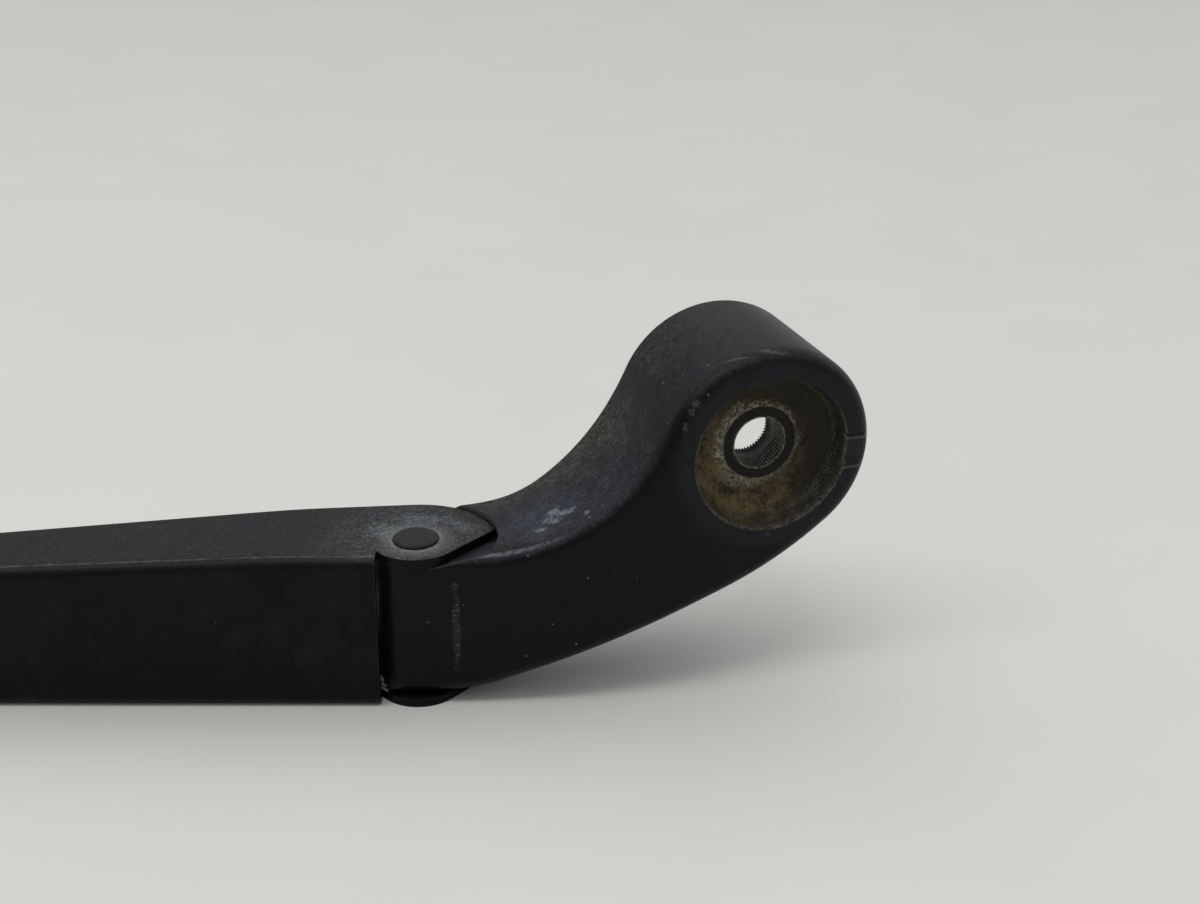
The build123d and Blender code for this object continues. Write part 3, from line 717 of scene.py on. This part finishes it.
def make_sheet_paint():
    """Worn satin black over pressed sheet, rubbed grey round the hinge."""
    paint = Finish("sheet_paint", specular=0.1)
    tree, where = paint.tree, paint.where
    faced = axes(tree, paint.facing)
    skin = place(tree, paint_skin, Place=where)
    paint.ground(skin["Shade"], "0a0b0d", "121317", 0.26, 0.16)
    above_table = ramp(tree, axes(tree, where)["Z"], -37.0, -33.0)
    facing = product(tree, paint.up, above_table)
    # Dust on what faces up, partly painted light that lightens the upper faces, kept off the lower ear by the
    # table.
    dust_and_light = place(tree, dust_and_top_light, Place=where, Up=facing, Flatness=0.69)
    paint.lay(dust_and_light["Film"], 0.4, "2a2b2e", 0.55)
    paint.lay(dust_and_light["Mottle"], 0.25, "38393c", 0.6)
    paint.lay(dust_and_light["Grains"], 0.27, "5f6060", 0.75)
    # Rubbed ear and the ring round the rivet
    distance = place(tree, round_axis, Place=where, Centre=hinge)["Distance"]
    facing_up = ramp(tree, facing, 0.6, 0.9)
    grain = noise(tree, where, 2.0, 6.0, 0.85)
    near = product(tree, ramp(tree, distance, ear_reach, 4.0), facing_up)
    veil = product(tree, near, ramp(tree, noise(tree, where, 0.6, 6.0, 0.8), 0.38, 0.6))
    paint.lay(veil, 0.5, "454948", 0.7)
    flecks = product(tree, near, ramp(tree, grain, 0.515, 0.57))
    paint.lay(flecks, 0.5, "868984", 0.8)
    scuffs = product(tree, paint.spots(ear_scuffs), facing_up, ramp(tree, grain, 0.4, 0.6))
    paint.lay(scuffs, 0.4, "858c96", 0.7)
    crumbly = spread(tree, ramp(tree, noise(tree, where, 3.0, 5.0, 0.8), 0.42, 0.58), 0.75, 0.25)
    ring = ramp(tree, fray(tree, distance, grain, 9.0), ring_outer, ring_inner + 0.4)
    paint.lay(product(tree, ring, facing_up, crumbly), 0.6, "7d807c", 0.8)
    crust = product(tree, ramp(tree, distance, ring_inner + 0.9, ring_inner + 0.3), facing_up)
    paint.lay(product(tree, crust, ramp(tree, grain, 0.44, 0.56)), 0.5, "94968f", 0.85)
    # Upper front bend, its painted highlight line, and sharp edges
    cloud = ramp(tree, noise(tree, where, 0.7, 6.0, 0.75), 0.4, 0.65)
    on_bend = product(tree, ramp(tree, faced["Y"], -0.25, -0.45), ramp(tree, faced["Z"], 0.35, 0.55))
    paint.lay(product(tree, on_bend, spread(tree, cloud, 0.7, 0.3)), 0.1, "2f3033", 0.28)
    # The thin pale line along the bend is a painted highlight.
    thin = product(tree, ramp(tree, faced["Z"], 0.5, 0.7), spread(tree, cloud, 0.75, 0.25))
    paint.lay(product(tree, band(tree, faced["Y"], -0.46, -0.36, -0.28, -0.2), thin), 0.3, "77787a", 0.38)
    worn = place(tree, edge_wear, Place=where, Reach=0.3, Raggedness=0.5)
    paint.lay(worn["Mask"], spread(tree, above_table, 0.3, 0.1), "585958", 0.55)
    # Wiped smudges, scratches and specks
    paint.lay(ramp(tree, noise(tree, where, 0.12, 5.0, 0.75), 0.5, 0.7), 0.3, "1f2024", 0.5)
    along = place(tree, hair_scratches, Place=where, Stretch=(0.06, 1.0, 0.9), Turn=0.5, Share=0.16)
    across = place(tree, hair_scratches, Place=where, Stretch=(0.9, 1.0, 0.05), Turn=-0.25, Share=0.12)
    scratches = calc(tree, "MAXIMUM", along["Mask"], across["Mask"])
    paint.lay(scratches, 1.0, "3a3b3e", 0.5)
    specks = place(tree, grit_specks, Place=where, Spacing=2.2, Size=0.08, Share=0.22)["Mask"]
    paint.lay(specks, 0.4, "747674", 0.8)
    height = spread(tree, scratches, -0.15, product(tree, skin["Height"], 0.25))
    height = spread(tree, calc(tree, "ADD", dust_and_light["Grains"], flecks), 0.25, height)
    return paint.close(height, 0.07, worn["Normal"])


sheet_paint = make_sheet_paint()
print("made", sheet_paint.name, "with", len(sheet_paint.node_tree.nodes), "nodes")

# %% [markdown]
# ## Rivets, spring steel and the sleeve
#
# The rivet heads were painted with the arm and then rubbed, so they are dark and a little shinier than
# their surroundings. The spring, its link and its pin are plated wire and bar gone dull, with rust
# starting between the turns. The sleeve is a plain dark moulding, hardly seen, but it still has the faint
# mottle of such plastic.

# %% Make the rivet paint, the dull steel and the sleeve plastic


def make_rivet_paint():
    """Dark paint rubbed thin on a rivet head."""
    paint = Finish("rivet_paint", specular=0.15)
    tree, where = paint.tree, paint.where
    skin = place(tree, paint_skin, Place=where)
    paint.ground(skin["Shade"], "17181a", "202124", 0.4, 0.15)
    paint.lay(ramp(tree, noise(tree, where, 1.7, 6.0, 0.8), 0.44, 0.66), 0.25, "48494c", 0.5)
    specks = place(tree, grit_specks, Place=where, Spacing=1.2, Size=0.1, Share=0.3)["Mask"]
    paint.lay(specks, 0.5, "7e807f", 0.8)
    return paint.close(skin["Height"], 0.02)


def make_dull_steel():
    """Plated steel gone dull, with a little rust."""
    steel = Finish("dull_steel", metallic=1.0)
    tree, where = steel.tree, steel.where
    rust_share = 0.8
    steel.ground(noise(tree, where, 0.5, 6.0, 0.65), "6f6d68", "9b9993", 0.3, 0.3)
    rust = ramp(tree, noise(tree, where, 0.8, 6.0, 0.7), 0.54, 0.7)
    steel.lay(rust, rust_share, "5a3a24", 0.85)
    tree.links.new(spread(tree, rust, -rust_share, 1.0), steel.shader.inputs["Metallic"])
    return steel.close(noise(tree, where, 2.0, 5.0, 0.7), 0.02)


def make_sleeve_plastic():
    """Dark moulded plastic with a faint mottle."""
    plastic = Finish("sleeve_plastic", specular=0.4)
    tree, where = plastic.tree, plastic.where
    plastic.ground(noise(tree, where, 0.7, 4.0, 0.6), "1d1d1c", "2b2a28", 0.5, 0.2)
    return plastic.close(noise(tree, where, 3.0, 3.0), 0.01)


rivet_paint = make_rivet_paint()
dull_steel = make_dull_steel()
sleeve_plastic = make_sleeve_plastic()
print("made", rivet_paint.name, dull_steel.name, sleeve_plastic.name)

# %% [markdown]
# ## Putting the finishes on the solids
#
# The solids already have the right shapes, so they stay and only change their paint.

# %% Paint the solids
finishes = {
    "mounting_head": casting_paint,
    "arm_channel": sheet_paint,
    "arm_strip": sheet_paint,
    "hinge_rivet": rivet_paint,
    "strip_rivets": rivet_paint,
    "spring_pin": dull_steel,
    "spring_link": dull_steel,
    "tension_spring": dull_steel,
    "hinge_bush": sleeve_plastic,
}
for name, finish in finishes.items():
    nodes[name].data.materials.clear()
    nodes[name].data.materials.append(finish)
print("painted", len(finishes), "solids")

# %% [markdown]
# ## The closing spring
#
# The real spring is wound close, turn on turn, with a hook bent up at each end. A curve with a round
# bevel could draw it; here a mesh tube is swept along its centre line ring by ring.

# %% Build the spring
wire_r = 0.8
coil_r = 3.7
coil_turns = 24.25
ring_points = 10
turn_points = 28
hook_dip = 2.2
hook_arc = radians(212)


def add(name, data):
    """A new object with its data, put into the scene."""
    made = bpy.data.objects.new(name, data)
    bpy.context.scene.collection.objects.link(made)
    return made


def new_piece(name, mesh_builder, finish):
    """A mesh piece from a bmesh, with its finish."""
    mesh = bpy.data.meshes.new(name)
    mesh_builder.to_mesh(mesh)
    mesh_builder.free()
    mesh.shade_smooth()
    mesh.materials.append(finish)
    piece = add(name, mesh)
    return piece


def bridge(bm, rings):
    """Faces between each ring of points and the next."""
    for first, second in zip(rings, rings[1:]):
        for k in range(len(first)):
            bm.faces.new((first[k - 1], first[k], second[k], second[k - 1]))


def close_ends(bm, rings):
    """Faces over the first and the last ring, and every face turned outwards."""
    bm.faces.new(list(reversed(rings[0])))
    bm.faces.new(rings[-1])
    bmesh.ops.recalc_face_normals(bm, faces=bm.faces)
    return bm


def tube(points, radius, sides):
    """A closed round tube along a line of points, carried along without twist."""
    bm = bmesh.new()
    rings = []
    side = None
    turns = [2 * pi * k / sides for k in range(sides)]
    for i, point in enumerate(points):
        ahead = points[min(i + 1, len(points) - 1)] - points[max(i - 1, 0)]
        ahead.normalize()
        side = ahead.orthogonal() if side is None else side - ahead * side.dot(ahead)
        side.normalize()
        over = ahead.cross(side)
        rings.append([bm.verts.new(point + (side * cos(t) + over * sin(t)) * radius) for t in turns])
    rings.reverse()
    bridge(bm, rings)
    return close_ends(bm, rings)


def spring_line(start, end):
    """The wire's centre line between the roots of its two hooks."""
    axis = (end - start).normalized()
    first = (Vector((0, 1, 0)) - axis * axis.y).normalized()
    second = axis.cross(first)
    length = (end - start).length
    last_turn = 2 * pi * coil_turns

    def hook(angle, root, way):
        out = first * cos(angle) + second * sin(angle)
        steps = [hook_arc * k / turn_points for k in range(turn_points + 1)]
        return [root + out * (coil_r * cos(t)) + axis * way * (hook_dip + coil_r * sin(t)) for t in steps]

    count = round(coil_turns * turn_points)
    shares = [k / count for k in range(1, count)]
    coil = [
        start + axis * (length * s) + (first * cos(last_turn * s) + second * sin(last_turn * s)) * coil_r
        for s in shares
    ]
    return list(reversed(hook(0, start, -1))) + coil + hook(last_turn, end, 1)


strip_anchor = Vector((-131.0, -5.7, -30.7))
link_eye = Vector((-79.0, -1.8, -27.2))
eye_r = 2.1
hook_seat = 2.0
pull = (link_eye - strip_anchor).normalized()
spring_start = strip_anchor + pull * (hook_seat + hook_dip)
spring_end = link_eye - pull * (eye_r + hook_seat + hook_dip)
spring_points = [point * MM for point in spring_line(spring_start, spring_end)]
spring_tube = tube(spring_points, wire_r * MM, ring_points)
closing_spring = new_piece("closing_spring", spring_tube, dull_steel)
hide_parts("tension_spring")
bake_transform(closing_spring)
print("spring of", coil_turns, "turns,", len(closing_spring.data.polygons), "faces")

# %% [markdown]
# ## The hinge rivet
#
# A rivet head is pressed to a low, round-edged button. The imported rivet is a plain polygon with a
# chamfer, which is enough for its fit but shows corners close up. A profile turned about the hinge axis
# gives the true round head, with the soft edge that the rivet set leaves, and the same flush end below.

# %% Turn the rivet
rivet_low, rivet_high = (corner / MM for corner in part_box("hinge_rivet"))
head_r = (rivet_high.x - rivet_low.x) / 2
shank_r = 2.5
head_height = 0.7
end_r = 3.3
end_chamfer = 0.15
sheet_thickness = 1.4
lathe_steps = 64


def lathe(profile, centre, steps):
    """A closed body turned from a profile of radius and height about an upright axis, in millimetres."""
    bm = bmesh.new()
    rings = []
    turns = [2 * pi * k / steps for k in range(steps)]
    for radius, height in profile:
        places = [(centre.x + radius * cos(t), centre.y + radius * sin(t), height) for t in turns]
        rings.append([bm.verts.new(Vector(p) * MM) for p in places])
    bridge(bm, rings)
    return close_ends(bm, rings)


seat_z = rivet_high.z - head_height
end_z = rivet_low.z
rivet_profile = [
    (end_r - end_chamfer, end_z),
    (end_r, end_z + end_chamfer),
    (end_r, end_z + sheet_thickness * 0.6),
    (shank_r, end_z + sheet_thickness),
    (shank_r, seat_z),
    (head_r - 0.05, seat_z),
    (head_r, seat_z + 0.08),
    (head_r - 0.02, seat_z + 0.24),
    (head_r - 0.14, seat_z + 0.42),
    (head_r - 0.36, seat_z + 0.55),
    (head_r - 0.75, seat_z + 0.63),
    (head_r - 1.5, seat_z + 0.68),
    (head_r - 2.4, rivet_high.z),
]
rivet_body = lathe(rivet_profile, hinge, lathe_steps)
turned_rivet = new_piece("turned_rivet", rivet_body, rivet_paint)
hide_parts("hinge_rivet")
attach(turned_rivet, "arm")
print("rivet head radius", head_r, "from", end_z, "to", rivet_high.z)

# %% [markdown]
# ## Serrations in the spindle bore
#
# The spindle grips the head with fine teeth along its taper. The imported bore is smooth, because a solid
# with dozens of teeth would be heavy to check. Here a thin toothed sleeve lines the taper: its outside is
# sunk in the casting and its teeth stop at the bore's own radius, so the spindle still fits.

# %% Build the toothed lining
taper_start_h = -land_length
taper_end_h = -7.7
taper_end_r = 4.6
tooth_height = 0.42
root_gap = 0.01
lining_sunk = 0.06
lining_heights = 7


def serrated_lining():
    """A ring of teeth along the taper, closed on the outside, in metres."""
    bm = bmesh.new()
    inner, outer = [], []
    for step in range(lining_heights):
        share = step / (lining_heights - 1)
        middle = outward * (taper_start_h + (taper_end_h - taper_start_h) * share)
        wall = bore_r + (taper_end_r - bore_r) * share
        tip = max(bore_r, wall - tooth_height)
        inner.append([])
        outer.append([])
        for k in range(2 * tooth_count):
            turn = pi * k / tooth_count
            out = along_rim * cos(turn) + Vector((0, 0, sin(turn)))
            radius = tip if k % 2 else wall - root_gap
            inner[-1].append(bm.verts.new((middle + out * radius) * MM))
            outer[-1].append(bm.verts.new((middle + out * (wall + lining_sunk)) * MM))
    for rings in (inner, outer, (inner[0], outer[0]), (inner[-1], outer[-1])):
        bridge(bm, rings)
    bmesh.ops.recalc_face_normals(bm, faces=bm.faces)
    return bm


def make_bore_steel():
    """Bare casting in the bore: dark and pale in patches, and browner with rust deeper in."""
    steel = Finish("bore_steel", specular=0.4)
    tree, where = steel.tree, steel.where
    depth = place(tree, round_axis, Place=where, Axis=outward)["Height"]
    steel.ground(noise(tree, where, 0.7, 6.0, 0.7), "2e2a24", "5f5a50", 0.4, 0.25)
    steel.lay(ramp(tree, noise(tree, where, 1.4, 5.0, 0.7), 0.45, 0.7), 0.5, "8c877c", 0.45)
    steel.lay(ramp(tree, depth, -5.0, -7.5), 0.35, "4a3a28", 0.8)
    return steel.close(noise(tree, where, 2.5, 4.0), 0.03)


bore_steel = make_bore_steel()
bore_lining = new_piece("bore_lining", serrated_lining(), bore_steel)
bore_lining.data.shade_flat()
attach(bore_lining, "head")
print("lining of", tooth_count, "teeth,", len(bore_lining.data.polygons), "faces")

# %% [markdown]
# ## Crumbs in the hinge gap
#
# Leaf dust and road dirt collect at the bottom of the narrow gap between the channel's end and the
# knuckle. A few lumps stick to the knuckle just above the channel's lower ear. Each is a small ball,
# pressed out of round by two waves and half sunk in the casting, so that it stays on the head when the
# arm is lifted and clears the ear that turns below it.

# %% Lay the crumbs
crumb_places = [
    ((-58.62, -9.62, -37.0), 0.36),
    ((-58.5, -9.75, -37.65), 0.32),
    ((-58.55, -9.7, -38.3), 0.42),
    ((-58.2, -10.1, -38.4), 0.3),
    ((-58.75, -9.4, -36.6), 0.22),
    ((-58.15, -10.05, -37.75), 0.24),
    ((-57.85, -10.45, -38.5), 0.22),
]


def crumb_heap():
    """Small lumps, each a rough ball, in metres."""
    bm = bmesh.new()
    for i, (centre, radius) in enumerate(crumb_places):
        made = bmesh.ops.create_icosphere(bm, subdivisions=2, radius=1.0)
        for vert in made["verts"]:
            rough = 1 + 0.16 * sin(7 * vert.co.x + 3 * i) * sin(6 * vert.co.z + 2 * i)
            vert.co = (Vector(centre) + vert.co * radius * rough) * MM
    return bm


def make_crumb_dirt():
    """Dry greenish-brown dirt."""
    dirt = Finish("crumb_dirt", specular=0.2)
    tree, where = dirt.tree, dirt.where
    cloud = noise(tree, where, 2.0, 5.0, 0.7)
    dirt.colour = mix(tree, ramp(tree, cloud, 0.3, 0.7), tone("57544a"), tone("a29d8a"))
    dirt.roughness = spread(tree, cloud, 0.1, 0.85)
    return dirt.close(noise(tree, where, 6.0, 4.0), 0.05)


crumb_dirt = make_crumb_dirt()
hinge_crumbs = new_piece("hinge_crumbs", crumb_heap(), crumb_dirt)
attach(hinge_crumbs, "head")
print("crumbs:", len(crumb_places))

# %% [markdown]
# ## The table
#
# The arm lies on a pale, matt table top. A wide plane at the lowest point of the arm catches its soft
# shadow.

# %% Lay the table
table_half = 12.0


def make_table_top():
    """A pale matt top with a faint cloudiness."""
    top = Finish("table_top", specular=0.15)
    cloud = noise(top.tree, top.where, 0.02, 4.0, 0.6)
    top.ground(cloud, "cfcfca", "d6d6d1", 0.7, 0.1)
    return top.close(cloud, 0.01)


bm = bmesh.new()
corners = [(x * table_half, y * table_half) for x, y in ((-1, -1), (1, -1), (1, 1), (-1, 1))]
bm.faces.new([bm.verts.new((x, y, table_z)) for x, y in corners])
table_mesh = bpy.data.meshes.new("table_top")
bm.to_mesh(table_mesh)
bm.free()
table_mesh.materials.append(make_table_top())
table_top = add("table_top", table_mesh)
print("table at", table_z)

# %% [markdown]
# ## Soft light from above
#
# The room is lit from its ceiling, so the upper faces are grey and the front is almost black. A world
# that is bright overhead, grey behind and dim in front gives that balance. One long lamp hangs level over
# the near side of the table and reaches far to the left: it draws the thin highlights on the rim and the
# bends, a dark shadow under the neck, and the faint band of shadow that runs off to the right.

# %% Light the scene
wall_sky = (0.25, 0.36, 1.0)
high_sky = (0.66, 1.4)
blue_tint = 1.02
lamp_power = 4.0
lamp_length = 1.3
lamp_width = 0.2
lamp_at = Vector((-0.5, -0.3, 0.96))
world = bpy.data.worlds.new("soft_daylight")
bpy.context.scene.world = world
world.use_nodes = True
sky = world.node_tree
direction = axes(sky, sky.nodes.new("ShaderNodeTexCoord").outputs["Generated"])
near, far, beside, high_near, high_far = [(s, s, s * blue_tint, 1.0) for s in wall_sky + high_sky]
backwards = ramp(sky, direction["Y"], -0.5, 0.6)
walls = mix(sky, backwards, near, mix(sky, ramp(sky, direction["X"], 0.1, 0.7), far, beside))
ceiling = mix(sky, backwards, high_near, high_far)
room = mix(sky, ramp(sky, direction["Z"], 0.3, 0.85), walls, ceiling)
sky.links.new(room, sky.nodes["Background"].inputs["Color"])
lamp_data = bpy.data.lights.new("tube_lamp", "AREA")
lamp_data.shape = "RECTANGLE"
lamp_data.size = lamp_length
lamp_data.size_y = lamp_width
lamp_data.energy = lamp_power
tube_lamp = add("tube_lamp", lamp_data)
tube_lamp.location = lamp_at
print("lit by the sky and", tube_lamp.name)

# %% [markdown]
# ## The camera
#
# The photo was taken by hand from in front and above, a little turned and a little tilted. The place and
# the three turns come from matching the arm's outline.

# %% Place the camera
camera_at = Vector((-32.081, -212.809, 91.309)) * MM
pitch = radians(23.614)
yaw = radians(1.993)
roll = radians(1.141)
ahead = Vector((sin(yaw) * cos(pitch), cos(yaw) * cos(pitch), -sin(pitch)))
level = Vector((cos(yaw), -sin(yaw), 0))
upright = level.cross(ahead)
right = level * cos(roll) + upright * sin(roll)
upward = upright * cos(roll) - level * sin(roll)
camera_data = bpy.data.cameras.new("photo_camera")
camera_data.lens = 45
camera_data.sensor_width = 36
camera_data.clip_start = 0.01
camera = add("photo_camera", camera_data)
turned = Matrix((right, upward, -ahead)).transposed().to_4x4()
camera.matrix_world = Matrix.Translation(camera_at) @ turned
bpy.context.scene.camera = camera
bpy.context.scene.view_settings.view_transform = "Standard"
print("camera at", camera_at)
